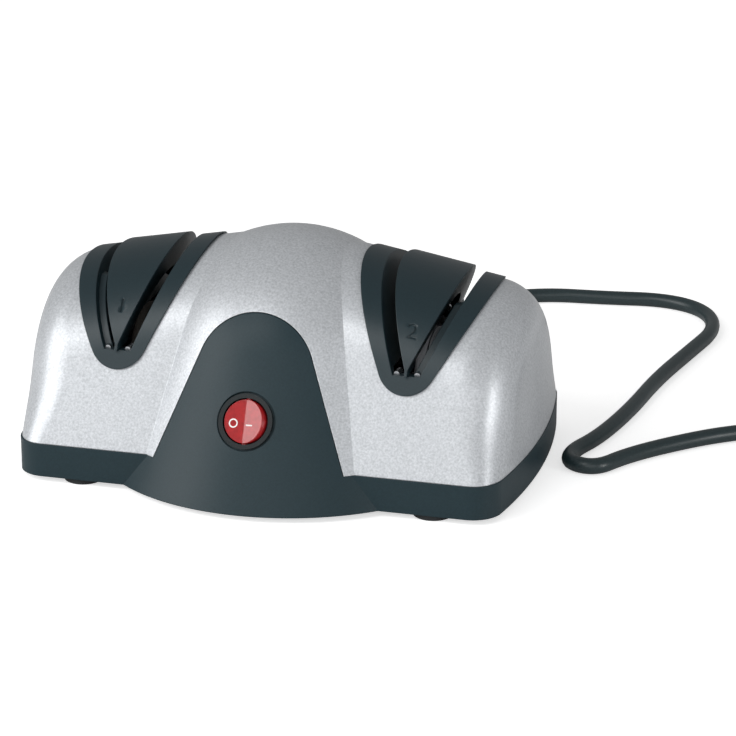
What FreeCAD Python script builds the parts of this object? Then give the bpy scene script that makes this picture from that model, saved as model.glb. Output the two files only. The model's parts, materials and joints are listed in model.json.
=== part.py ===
"""Electric knife sharpener with two grinding stages, as a parametric FreeCAD document.

Millimetres. X runs along the long side, Y from the switch side to the back, Z up from the table.
The driving sizes are in the spreadsheet called Sizes. Every sub-part is written to parts/.
"""
import FreeCAD, Part
import Sketcher
import math
import os

V = FreeCAD.Vector
doc = FreeCAD.newDocument("knife_sharpener")
sheet = doc.addObject("Spreadsheet::Sheet", "Sizes")

DRIVING_SIZES = {
    # casing outside
    "half_length": 108.5,
    "end_bow_radius": 303.0,
    "end_draft": 3.0,
    "end_shoulder": 22.0,
    "wing_mid": 9.44,
    "wing_half": 64.3,
    "wing_lean": 23.4,
    "wing_crest": 99.4,
    "wing_fall": 0.19,
    "hump_radius": 78.4,
    "hump_lean": 25.2,
    "hump_crest": 99.7,
    "hump_back": 2.0,
    "seam_height": 17.0,
    "base_bottom": 2.6,
    "base_proud": 0.7,
    "base_corner": 12.0,
    "shell_wall": 2.5,
    "floor_wall": 2.5,
    "seam_gap": 0.15,
    # front panel arch
    "arch_half": 45.5,
    "arch_lean": 21.3,
    "arch_crest": 77.5,
    # knife guides
    "stage_centre": 62.6,
    "slot_floor": 56.0,
    "slot_ref": 58.0,
    "slot_outer": 69.0,
    "slot_inner": 55.8,
    "slot_width": 6.3,
    "outer_lean": 25.0,
    "inner_lean": 20.5,
    "rim_outer_lean": 31.0,
    "rim_inner_lean": 24.5,
    "rim_side": 6.0,
    "rim_foot": 48.6,
    "rim_proud": 1.0,
    "rim_depth": 3.0,
    "guide_wall": 1.8,
    "block_proud": 2.6,
    "rib_width": 3.0,
    "rib_step": 79.0,
    "rib_recess": 1.6,
    "rest_pin_radius": 1.2,
    "rest_pin_length": 5.0,
    # drive
    "axle_height": 40.0,
    "axle_radius": 3.0,
    "running_gap": 0.05,
    "disc_radius": 21.0,
    "disc_thickness": 4.2,
    "disc_gap": 0.6,
    "disc_bevel": 1.2,
    "hub_radius": 7.0,
    "hub_flange_radius": 10.0,
    "hub_flange": 1.6,
    "bush_radius": 5.5,
    "bush_length": 6.0,
    "stator_half_depth": 30.0,
    "stator_bottom": 14.0,
    "stator_top": 80.0,
    "stator_stack": 24.0,
    "rotor_radius": 13.5,
    "air_gap": 0.5,
    "bracket_wall": 2.0,
    "bracket_half": 26.0,
    "fan_radius": 21.0,
    # switch
    "switch_height": 37.6,
    "switch_recess": 24.6,
    "bezel_outer": 23.0,
    "bezel_bore": 19.2,
    "rocker_diameter": 18.2,
    "rocker_travel": 20.0,
    "switch_depth": 22.0,
    # underside
    "foot_radius": 8.5,
    "foot_x": 76.0,
    "foot_front": -46.0,
    "foot_back": 62.0,
    "screw_x": 91.0,
    "screw_front": -28.0,
    "screw_back": 48.0,
    "screw_radius": 1.75,
    "screw_head": 3.4,
    # mains lead
    "cord_radius": 3.45,
    "cord_exit_x": 30.0,
    "cord_exit_height": 11.4,
}


class Size:
    """A length that carries its number and the expression that ties it to the spreadsheet."""

    def __init__(self, value, text):
        self.value = float(value)
        self.text = text

    def __add__(self, other):
        other = as_size(other)
        return Size(self.value + other.value, f"({self.text} + {other.text})")

    def __sub__(self, other):
        other = as_size(other)
        return Size(self.value - other.value, f"({self.text} - {other.text})")

    def __mul__(self, other):
        other = as_size(other)
        return Size(self.value * other.value, f"({self.text} * {other.text})")

    def __truediv__(self, other):
        other = as_size(other)
        return Size(self.value / other.value, f"({self.text} / {other.text})")

    def __neg__(self):
        return Size(-self.value, f"(0 - {self.text})")

    def __radd__(self, other):
        return as_size(other) + self

    def __rsub__(self, other):
        return as_size(other) - self

    def __rmul__(self, other):
        return as_size(other) * self


def as_size(number):
    return number if isinstance(number, Size) else Size(number, f"({float(number)!r})")


def sine(angle):
    angle = as_size(angle)
    return Size(math.sin(math.radians(angle.value)), f"sin({angle.text} * 1deg)")


def cosine(angle):
    angle = as_size(angle)
    return Size(math.cos(math.radians(angle.value)), f"cos({angle.text} * 1deg)")


def tangent(angle):
    angle = as_size(angle)
    return Size(math.tan(math.radians(angle.value)), f"tan({angle.text} * 1deg)")


class SizeTable:
    """Fills the spreadsheet and hands its rows out as attributes."""

    def __init__(self, rows):
        for row, (alias, number) in enumerate(rows.items(), start=1):
            sheet.set(f"A{row}", alias)
            sheet.set(f"B{row}", repr(number))
            sheet.setAlias(f"B{row}", alias)
            setattr(self, alias, Size(number, f"Sizes.{alias}"))
        doc.recompute()


S = SizeTable(DRIVING_SIZES)

PLANES = {
    "XZ": FreeCAD.Rotation(V(1, 0, 0), V(0, 0, 1), V(0, -1, 0), "ZXY"),
    "YZ": FreeCAD.Rotation(V(0, 1, 0), V(0, 0, 1), V(1, 0, 0), "ZXY"),
    "XY": FreeCAD.Rotation(),
}
ALONG = {"X": V(1, 0, 0), "Y": V(0, 1, 0), "Z": V(0, 0, 1)}
TURN_TO = {
    "X": FreeCAD.Rotation(V(0, 0, 1), V(1, 0, 0)),
    "Y": FreeCAD.Rotation(V(0, 0, 1), V(0, 1, 0)),
    "Z": FreeCAD.Rotation(),
}


def bind(thing, **sizes):
    """Ties properties of an object to the spreadsheet."""
    for prop, amount in sizes.items():
        thing.setExpression(prop, as_size(amount).text)
    return thing


def put(thing, x=0, y=0, z=0, turn=None):
    """Places an object, with each coordinate tied to the spreadsheet."""
    x, y, z = as_size(x), as_size(y), as_size(z)
    spot = V(x.value, y.value, z.value)
    thing.Placement = FreeCAD.Placement(spot, turn or FreeCAD.Rotation())
    for axis, amount in (("x", x), ("y", y), ("z", z)):
        if not amount.text.startswith("(0.0)"):
            thing.setExpression(f"Placement.Base.{axis}", amount.text)
    return thing


def box(name, x, y, z, length, width, height):
    block = doc.addObject("Part::Box", name)
    bind(block, Length=length, Width=width, Height=height)
    return put(block, x, y, z)


def rod(name, axis, x, y, z, radius, length):
    """A cylinder that starts at x, y, z and runs along the named axis."""
    cylinder = doc.addObject("Part::Cylinder", name)
    bind(cylinder, Radius=radius, Height=length)
    return put(cylinder, x, y, z, TURN_TO[axis])


def fuse(name, *pieces):
    joined = doc.addObject("Part::MultiFuse", name)
    joined.Shapes = list(pieces)
    joined.Refine = True
    return joined


def common(name, *pieces):
    shared = doc.addObject("Part::MultiCommon", name)
    shared.Shapes = list(pieces)
    shared.Refine = True
    return shared


def cut(name, base, *tools):
    taken = doc.addObject("Part::Cut", name)
    taken.Base = base
    taken.Tool = tools[0] if len(tools) == 1 else fuse(name + "_tools", *tools)
    taken.Refine = True
    return taken


def mirror_x(name, source):
    twin = doc.addObject("Part::Mirroring", name)
    twin.Source = source
    twin.Normal = V(1, 0, 0)
    return twin


def new_sketch(name, plane, at):
    sketch = doc.addObject("Sketcher::SketchObject", name)
    where = {"XZ": dict(y=at), "YZ": dict(x=at), "XY": dict(z=at)}[plane]
    return put(sketch, turn=PLANES[plane], **where)


def pin_point(sketch, edge, end, u, w):
    """Holds one end of a sketch edge at u, w from the sketch origin."""
    for kind, amount in (("DistanceX", as_size(u)), ("DistanceY", as_size(w))):
        number = sketch.addConstraint(Sketcher.Constraint(kind, -1, 1, edge, end, amount.value))
        sketch.setExpression(f"Constraints[{number}]", amount.text)


def polygon(name, plane, at, corners):
    """A closed outline of straight sides through the corners."""
    sketch = new_sketch(name, plane, at)
    spots = [V(as_size(u).value, as_size(w).value, 0) for u, w in corners]
    count = len(spots)
    for i in range(count):
        sketch.addGeometry(Part.LineSegment(spots[i], spots[(i + 1) % count]))
    for i in range(count):
        sketch.addConstraint(Sketcher.Constraint("Coincident", i, 2, (i + 1) % count, 1))
        pin_point(sketch, i, 1, *corners[i])
    return sketch


def arch_radius(half, rise, lean):
    """Radius of the round top that two leaning sides run into."""
    return (half * cosine(lean) - rise * sine(lean)) / (1 - sine(lean))


def arch(name, plane, at, centre, half, foot, crest, lean, half_only=False, upside_down=False):
    """A closed outline: level foot, two sides leaning in by lean, and a round top at crest."""
    sign = -1 if upside_down else 1
    radius = arch_radius(half, (crest - foot) * sign, lean)
    hub = crest - radius * sign
    centre = as_size(centre)
    lean_angle = math.radians(as_size(lean).value)
    sketch = new_sketch(name, plane, at)
    middle = V(centre.value, hub.value, 0)
    reach = V(radius.value * math.cos(lean_angle), sign * radius.value * math.sin(lean_angle), 0)
    touch_right = middle + reach
    touch_left = middle + V(-reach.x, reach.y, 0)
    top = middle + V(0, sign * radius.value, 0)
    foot_right = V(centre.value + half.value, foot.value, 0)
    foot_left = V(centre.value - half.value, foot.value, 0)
    foot_mid = V(centre.value, foot.value, 0)
    side = sketch.addGeometry(Part.LineSegment(foot_right, touch_right))
    if half_only:
        cap_arc = Part.Arc(touch_right, middle + V(radius.value * math.cos((lean_angle + math.pi / 2) / 2),
                           sign * radius.value * math.sin((lean_angle + math.pi / 2) / 2), 0), top)
    else:
        cap_arc = Part.Arc(touch_right, top, touch_left)
    cap = sketch.addGeometry(cap_arc)
    start, stop = (2, 1) if upside_down else (1, 2)
    if not half_only:
        far_side = sketch.addGeometry(Part.LineSegment(touch_left, foot_left))
        base = sketch.addGeometry(Part.LineSegment(foot_left, foot_right))
        sketch.addConstraint(Sketcher.Constraint("Tangent", side, 2, cap, start))
        sketch.addConstraint(Sketcher.Constraint("Tangent", cap, stop, far_side, 1))
        sketch.addConstraint(Sketcher.Constraint("Coincident", far_side, 2, base, 1))
        sketch.addConstraint(Sketcher.Constraint("Coincident", base, 2, side, 1))
        pin_point(sketch, base, 1, centre - half, foot)
    else:
        drop = sketch.addGeometry(Part.LineSegment(top, foot_mid))
        base = sketch.addGeometry(Part.LineSegment(foot_mid, foot_right))
        sketch.addConstraint(Sketcher.Constraint("Tangent", side, 2, cap, start))
        sketch.addConstraint(Sketcher.Constraint("Coincident", cap, stop, drop, 1))
        sketch.addConstraint(Sketcher.Constraint("Coincident", drop, 2, base, 1))
        sketch.addConstraint(Sketcher.Constraint("Coincident", base, 2, side, 1))
        sketch.addConstraint(Sketcher.Constraint("Vertical", drop))
        pin_point(sketch, base, 1, centre, foot)
    pin_point(sketch, side, 1, centre + half, foot)
    pin_point(sketch, cap, 3, centre, hub)
    number = sketch.addConstraint(Sketcher.Constraint("Radius", cap, radius.value))
    sketch.setExpression(f"Constraints[{number}]", radius.text)
    return sketch


def extrude(name, sketch, axis, length):
    bar = doc.addObject("Part::Extrusion", name)
    bar.Base = sketch
    bar.DirMode = "Custom"
    bar.Dir = ALONG[axis]
    bar.Solid = True
    return bind(bar, LengthFwd=length)


def revolve(name, sketch, axis, x=0, y=0, z=0):
    turned = doc.addObject("Part::Revolution", name)
    turned.Source = sketch
    turned.Axis = ALONG[axis]
    turned.Angle = 360
    turned.Solid = True
    for letter, amount in (("x", as_size(x)), ("y", as_size(y)), ("z", as_size(z))):
        turned.setExpression(f"Base.{letter}", amount.text)
    return turned


def loft(name, *sections):
    skin = doc.addObject("Part::Loft", name)
    skin.Sections = list(sections)
    skin.Solid = True
    skin.Ruled = True
    return skin


def round_edges(name, base, radius, wanted):
    """Fillets the edges of base that the test picks out."""
    doc.recompute()
    rounded = doc.addObject("Part::Fillet", name)
    rounded.Base = base
    edges = base.Shape.Edges
    rounded.Edges = [(i + 1, radius.value, radius.value) for i, e in enumerate(edges) if wanted(e)]
    return rounded


def plain_feature(name, shape):
    """A piece whose form no parametric feature fits, such as a routed cord."""
    piece = doc.addObject("Part::Feature", name)
    piece.Shape = shape
    return piece


# The outer form of the casing, and the same form set in or out by a distance


def wing_loft(tag, offset):
    """The long body: an arch that falls away to both sides, past the ends of the casing."""
    offset = as_size(offset)
    half = S.wing_half + offset
    foot = S.seam_height
    beyond = S.half_length + 10
    crest_mid = S.wing_crest + offset
    crest_end = crest_mid - S.wing_fall * beyond
    return loft(
        f"wing_{tag}_loft",
        arch(f"wing_{tag}_left", "YZ", -beyond, S.wing_mid, half, foot, crest_end, S.wing_lean),
        arch(f"wing_{tag}_mid", "YZ", 0, S.wing_mid, half, foot, crest_mid, S.wing_lean),
        arch(f"wing_{tag}_right", "YZ", beyond, S.wing_mid, half, foot, crest_end, S.wing_lean),
    )


def bowed_ends(tag, offset, draft):
    """Two drums whose walls are the gently bowed ends of the casing."""
    drums = []
    reach = S.half_length + offset
    for side, sign in (("left", 1), ("right", -1)):
        drum = doc.addObject("Part::Cylinder", f"{tag}_{side}_end")
        bind(drum, Radius=S.end_bow_radius, Height=200)
        axis_x = sign * (S.end_bow_radius - reach) - 60 * sign * sine(draft)
        put(drum, axis_x, S.wing_mid, S.seam_height - 60, FreeCAD.Rotation(V(0, sign, 0), draft.value))
        drums.append(drum)
    return drums


def wing_form(tag, offset):
    """The wing with its bowed ends and rounded shoulders."""
    offset = as_size(offset)
    body = wing_loft(tag, offset)
    trimmed = common(f"wing_{tag}_trimmed", body, *bowed_ends(f"wing_{tag}", offset, S.end_draft))
    doc.recompute()
    limit = S.half_length.value * 0.8
    low = S.seam_height.value + 1
    shoulder = (S.end_shoulder + offset).value
    corner = (S.base_corner + offset).value
    rows = []
    for index, edge in enumerate(trimmed.Shape.Edges, start=1):
        bounds = edge.BoundBox
        nearest = min(abs(bounds.XMin), abs(bounds.XMax))
        if bounds.XMin * bounds.XMax < 0 or nearest < limit or bounds.ZMax < low:
            continue
        if bounds.ZMin > low:
            rows.append((index, shoulder, shoulder))
        elif edge.Vertexes[0].Point.z < edge.Vertexes[-1].Point.z:
            rows.append((index, corner, shoulder))
        else:
            rows.append((index, shoulder, corner))
    rounded = doc.addObject("Part::Fillet", f"wing_{tag}")
    rounded.Base = trimmed
    rounded.Edges = rows
    return rounded


def hump_form(tag, offset, foot):
    """The domed middle: a leaning cone under a round dome, cut flat at the back."""
    offset = as_size(offset)
    foot = as_size(foot)
    radius = S.hump_radius + offset + (S.seam_height - foot) * tangent(S.hump_lean)
    crest = S.hump_crest + offset
    half_arch = arch(f"hump_{tag}_profile", "XZ", S.wing_mid, 0, radius, foot, crest, S.hump_lean,
                     half_only=True)
    dome = revolve(f"hump_{tag}_dome", half_arch, "Z", 0, S.wing_mid, 0)
    back = S.wing_mid + S.wing_half + S.hump_back + offset
    rise = 110
    side = polygon(f"hump_{tag}_side", "YZ", -S.half_length, [
        (-110, -5),
        (back, -5),
        (back, S.seam_height),
        (back - rise * tangent(S.wing_lean), S.seam_height + rise),
        (-110, S.seam_height + rise),
    ])
    return common(f"hump_{tag}", dome, extrude(f"hump_{tag}_block", side, "X", S.half_length * 2))


def skirt_form(tag, offset, bottom):
    """The upright black skirt below the seam."""
    offset = as_size(offset)
    half = S.wing_half + offset
    slab = box(f"skirt_{tag}_slab", -S.half_length - 10, S.wing_mid - half, bottom,
               S.half_length * 2 + 20, half * 2, S.seam_height - bottom)
    trimmed = common(f"skirt_{tag}_trimmed", slab, *bowed_ends(f"skirt_{tag}", offset, as_size(0)))
    corner = S.base_corner + offset

    def upright(edge):
        bounds = edge.BoundBox
        return bounds.ZLength > 5 and bounds.XLength < 0.1

    return round_edges(f"skirt_{tag}", trimmed, corner, upright)


def whole_form(tag, offset, bottom):
    """Wing, hump and skirt together."""
    return fuse(f"whole_{tag}", wing_form(tag, offset), hump_form(tag, offset, bottom),
                skirt_form(tag, offset, bottom))


floor_top = S.base_bottom + S.floor_wall
outer_wing = wing_form("outer", 0)
outer_hump = hump_form("outer", 0, S.base_bottom)
outer_skirt = skirt_form("outer", S.base_proud, S.base_bottom)
inside = whole_form("inner", -S.shell_wall, floor_top)


def arch_prism(tag, grow):
    """The arch of the front panel, run back through the front wall only."""
    outline = arch(f"arch_{tag}_outline", "XZ", -100, 0, S.arch_half + grow, S.seam_height - 12,
                   S.arch_crest + grow, S.arch_lean)
    return extrude(f"arch_{tag}_prism", outline, "Y", 100 + S.wing_mid - 38)


below_seam = box("below_seam", -130, -120, -5, 260, 240, S.seam_height + 5)
above_seam = box("above_seam", -130, -120, S.seam_height, 260, 240, 120)
lower_zone = fuse("lower_zone", below_seam, arch_prism("panel", as_size(0)))
panel_gap = arch_prism("panel_gap", S.seam_gap * 2)


# Knife guides: a V-shaped rim let into the casing, and a block between its two slots


def slot_line(x_at_ref, lean, outward, height):
    """Where a leaning side of a guide is at a height."""
    return x_at_ref + outward * (as_size(height) - S.slot_ref) * tangent(lean)


def guide_prism(stage):
    """The V outline of the rim, rounded at its foot, run through the casing front to back."""
    outer = S.slot_outer + S.rim_side
    inner = S.slot_inner - S.rim_side
    spread = tangent(S.rim_outer_lean) + tangent(S.rim_inner_lean)
    tip = S.slot_ref - (outer - inner) / spread
    top = as_size(125)
    outline = polygon(f"{stage}_rim_outline", "XZ", -100, [
        (slot_line(outer, S.rim_outer_lean, 1, tip), tip),
        (slot_line(outer, S.rim_outer_lean, 1, top), top),
        (slot_line(inner, S.rim_inner_lean, -1, top), top),
    ])
    prism = extrude(f"{stage}_rim_bar", outline, "Y", 200)
    half_angle = (S.rim_outer_lean + S.rim_inner_lean) / 2
    radius = (S.rim_foot - tip) / (as_size(1) / sine(half_angle) - 1)

    def at_tip(edge):
        return edge.BoundBox.ZMax < tip.value + 1

    return round_edges(f"{stage}_rim_prism", prism, radius, at_tip)


def slot_prism(name, x_left, lean, outward):
    """One knife slot, run through the casing front to back."""
    low, high = S.slot_floor, as_size(125)
    right = x_left + S.slot_width
    outline = polygon(f"{name}_outline", "XZ", -100, [
        (slot_line(x_left, lean, outward, low), low),
        (slot_line(right, lean, outward, low), low),
        (slot_line(right, lean, outward, high), high),
        (slot_line(x_left, lean, outward, high), high),
    ])
    return extrude(name, outline, "Y", 200)


def guide_wall_prism(name, x_face, lean, outward):
    """A thin wall that carries the outer side of a slot down inside the casing."""
    low, high = S.slot_ref, as_size(125)
    far = x_face + outward * S.guide_wall
    outline = polygon(f"{name}_outline", "XZ", -100, [
        (slot_line(x_face, lean, outward, low), low),
        (slot_line(far, lean, outward, low), low),
        (slot_line(far, lean, outward, high), high),
        (slot_line(x_face, lean, outward, high), high),
    ])
    return extrude(name, outline, "Y", 200)


def block_prism(name):
    """The space between the two slots, standing on a narrow rib on the slot floor."""
    left = S.slot_inner + S.slot_width
    right = S.slot_outer - S.slot_width
    neck = 1.2
    spread = tangent(S.inner_lean) + tangent(S.outer_lean)
    waist = S.slot_ref + (neck - (right - left)) / spread
    top = as_size(125)
    neck_left = slot_line(left, S.inner_lean, -1, waist)
    neck_right = slot_line(right, S.outer_lean, 1, waist)
    outline = polygon(f"{name}_outline", "XZ", -100, [
        (neck_left, S.slot_floor),
        (neck_right, S.slot_floor),
        (neck_right, waist),
        (slot_line(right, S.outer_lean, 1, top), top),
        (slot_line(left, S.inner_lean, -1, top), top),
        (neck_left, waist),
    ])
    return extrude(name, outline, "Y", 200)


rim_skin = wing_loft("rim_skin", S.rim_proud)
rim_back = wing_loft("rim_back", -S.rim_depth)
block_skin = wing_loft("block_skin", S.block_proud)
block_back = wing_loft("block_back", -S.rim_depth - 8)
under_skin = wing_loft("under_skin", -S.rib_recess)

rim_prism = guide_prism("guide")
inner_slot = slot_prism("inner_slot", S.slot_inner, S.inner_lean, -1)
outer_slot = slot_prism("outer_slot", S.slot_outer - S.slot_width, S.outer_lean, 1)
rim_band = cut("rim_band", common("rim_solid", rim_prism, rim_skin), rim_back)
walls = cut("guide_walls", common("guide_walls_solid", under_skin, fuse(
    "guide_wall_pair",
    guide_wall_prism("inner_guide_wall", S.slot_inner, S.inner_lean, -1),
    guide_wall_prism("outer_guide_wall", S.slot_outer, S.outer_lean, 1))),
    box("guide_walls_keep_low", -200, -200, -20, 400, 400, S.slot_ref + 20))

# the strip that closes the outer half of the outer slot up to a step
rib_low, rib_high = S.slot_floor, S.rib_step
rib_outline = polygon("slot_rib_outline", "XZ", -100, [
    (slot_line(S.slot_outer - S.rib_width, S.outer_lean, 1, rib_low), rib_low),
    (slot_line(S.slot_outer, S.outer_lean, 1, rib_low), rib_low),
    (slot_line(S.slot_outer, S.outer_lean, 1, rib_high), rib_high),
    (slot_line(S.slot_outer - S.rib_width, S.outer_lean, 1, rib_high), rib_high),
])
rib_bar = extrude("slot_rib_bar", rib_outline, "Y", 100 + S.wing_mid)
slot_rib = cut("slot_rib", common("slot_rib_solid", rib_bar, under_skin), rim_back)

pin_rows = []
for end, y_start in (("front", S.wing_mid - 47), ("rear", S.wing_mid + 47 - S.rest_pin_length)):
    for place, x in (("inner", S.slot_inner + S.slot_width / 2 - 0.9),
                     ("outer", S.slot_outer - S.slot_width / 2 + 0.9)):
        pin_rows.append(rod(f"{place}_{end}_rest_pin", "Y", x, y_start, S.slot_floor + 0.2,
                            S.rest_pin_radius, S.rest_pin_length))
rest_pins = fuse("rest_pins_right", *pin_rows)
guide_right = cut("guide_right", fuse("guide_solid", cut("guide_open", fuse(
    "guide_closed", rim_band, walls), inner_slot, outer_slot, block_prism("block_room")), slot_rib),
    rest_pins)
block_right = cut("block_right", common("block_solid", block_prism("block_bar"), block_skin),
                  block_back)


# The rest of the right-hand stage is the left-hand one seen in a mirror


def stage_pair(label, right):
    """Names a right-hand piece fine_..., and its mirror twin on the left coarse_..."""
    finished[f"fine_{label}"] = right
    finished[f"coarse_{label}"] = mirror_x(f"coarse_{label}", right)


finished = {}
stage_pair("guide_frame", guide_right)
stage_pair("guide_block", block_right)
stage_pair("rest_pins", rest_pins)


# Screw posts, feet and the bearing walls


corner_spots = [(side, y) for side in (-1, 1) for y in (S.screw_front, S.screw_back)]
lower_posts = []
lower_bores = []
upper_bosses = []
upper_bores = []
housing_screws = []
post_radius = 5.0
for number, (side, y) in enumerate(corner_spots, start=1):
    x = S.screw_x * side
    lower_posts.append(rod(f"post_{number}", "Z", x, y, S.base_bottom, post_radius,
                           S.seam_height - S.base_bottom))
    lower_bores.append(rod(f"post_bore_{number}", "Z", x, y, -1, S.screw_radius, 40))
    lower_bores.append(rod(f"post_sink_{number}", "Z", x, y, -1, S.screw_head, 8))
    upper_bosses.append(rod(f"boss_{number}", "Z", x, y, S.seam_height, post_radius, 60))
    upper_bores.append(rod(f"boss_bore_{number}", "Z", x, y, S.seam_height - 1, S.screw_radius, 15))
    head = rod(f"screw_head_{number}", "Z", x, y, 4.6, S.screw_head - 0.2, 2.4)
    shank = rod(f"screw_shank_{number}", "Z", x, y, 7, S.screw_radius, 22)
    slot = box(f"screw_slot_{number}", x - 0.5, y - 2.2, 4, 1, 4.4, 1.6)
    housing_screws.append(cut(f"screw_{number}", fuse(f"screw_solid_{number}", head, shank), slot))
finished["housing_screws"] = fuse("housing_screws", *housing_screws)

foot_bores = []
foot_stem = 3.0
for place, sign, y in (("front_left", -1, S.foot_front), ("front_right", 1, S.foot_front),
                       ("rear_left", -1, S.foot_back), ("rear_right", 1, S.foot_back)):
    x = S.foot_x * sign
    pad = rod(f"{place}_pad", "Z", x, y, 0, S.foot_radius, S.base_bottom)
    stem = rod(f"{place}_stem", "Z", x, y, S.base_bottom, foot_stem, S.floor_wall)
    bulb = rod(f"{place}_bulb", "Z", x, y, floor_top, foot_stem + 1.2, 2)
    foot_bores.append(rod(f"{place}_foot_bore", "Z", x, y, -1, foot_stem, 20))
    whole_foot = fuse(f"{place}_foot_solid", pad, stem, bulb)

    def at_floor(edge):
        return edge.BoundBox.ZMax < 0.01 and edge.BoundBox.XLength > 10

    finished[f"{place}_foot"] = round_edges(f"{place}_foot", whole_foot, as_size(0.6), at_floor)

bush_seat = S.half_length - 26
bearing_walls = []
bearing_bores = []
for side, sign in (("left", -1), ("right", 1)):
    wall_x = bush_seat * sign - 1.5
    bearing_walls.append(box(f"{side}_bearing_wall", wall_x, S.wing_mid - 14, floor_top - 0.5,
                             3, 28, S.axle_height - floor_top + 9))
    bearing_walls.append(box(f"{side}_bearing_web", wall_x - 5, S.wing_mid - 1.5, floor_top - 0.5,
                             13, 3, 20))
    bearing_bores.append(rod(f"{side}_bearing_bore", "X", bush_seat * sign - 8, S.wing_mid,
                             S.axle_height, S.bush_radius, 16))
    bush = rod(f"{side}_bush_body", "X", bush_seat * sign - S.bush_length / 2, S.wing_mid,
               S.axle_height, S.bush_radius, S.bush_length)
    collar = rod(f"{side}_bush_collar", "X", bush_seat * sign - S.bush_length / 2, S.wing_mid,
                 S.axle_height, S.bush_radius + 1.5, S.bush_length / 2 - 1.5)
    bore = rod(f"{side}_bush_bore", "X", bush_seat * sign - 10, S.wing_mid, S.axle_height,
               S.axle_radius + S.running_gap, 20)
    finished[f"{side}_end_bush"] = cut(f"{side}_end_bush", fuse(f"{side}_bush_solid", bush, collar),
                                       bore)


# Motor: stator stack, coil on its bobbin, two brackets with bushes, and their screws


def stator_box(name, half_x, half_y, low, high):
    return box(name, -half_x, S.wing_mid - half_y, low, as_size(half_x) * 2, as_size(half_y) * 2,
               as_size(high) - low)


stack_half = S.stator_stack / 2
window_low = S.axle_height + S.rotor_radius + 5.5
window_high = window_low + 10
window_half = 18.0
bobbin_wall = 1.2
coil_half = window_half - 3.4
stack = stator_box("stator_stack_block", stack_half, S.stator_half_depth, S.stator_bottom, S.stator_top)
rotor_room = rod("rotor_room", "X", -stack_half - 1, S.wing_mid, S.axle_height,
                 S.rotor_radius + S.air_gap, S.stator_stack + 2)
window = stator_box("stator_window", stack_half + 1, window_half, window_low, window_high)
motor_screw_spots = [(-22, S.axle_height - 18), (22, S.axle_height - 18),
                     (-22, S.axle_height + 13), (22, S.axle_height + 13)]
stator_bores = [rod(f"stator_bore_{i}", "X", -20, S.wing_mid + y, z, 2, 40)
                for i, (y, z) in enumerate(motor_screw_spots, start=1)]


def long_corner(edge):
    bounds = edge.BoundBox
    return bounds.XLength > 20 and bounds.YLength < 0.1 and bounds.ZLength < 0.1


rounded_stack = round_edges("stator_rounded", stack, as_size(4), long_corner)
finished["motor_stator"] = cut("motor_stator", rounded_stack, rotor_room, window, *stator_bores)

leg_room = stator_box("bobbin_room", stack_half, window_half, window_high, S.stator_top)
sleeve = stator_box("bobbin_sleeve", stack_half + bobbin_wall, coil_half + bobbin_wall,
                    window_high - bobbin_wall, S.stator_top + bobbin_wall)
flanges = [box(f"bobbin_flange_{side}", -stack_half - 8, S.wing_mid + y, window_low + 1.5,
               S.stator_stack + 16, bobbin_wall, S.stator_top - window_low + 5)
           for side, y in (("front", -coil_half - bobbin_wall), ("rear", coil_half))]
finished["coil_bobbin"] = cut("coil_bobbin", fuse("bobbin_solid", sleeve, *flanges), leg_room)
winding = stator_box("winding_block", stack_half + 7, coil_half, window_low + 2, S.stator_top + 6)
winding_room = stator_box("winding_room", stack_half + bobbin_wall, coil_half + 1,
                          window_high - bobbin_wall, S.stator_top + bobbin_wall)


def along_y(edge):
    return edge.BoundBox.YLength > 20


finished["motor_coil"] = cut("motor_coil", round_edges("winding_rounded", winding, as_size(4), along_y),
                             winding_room)

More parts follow.
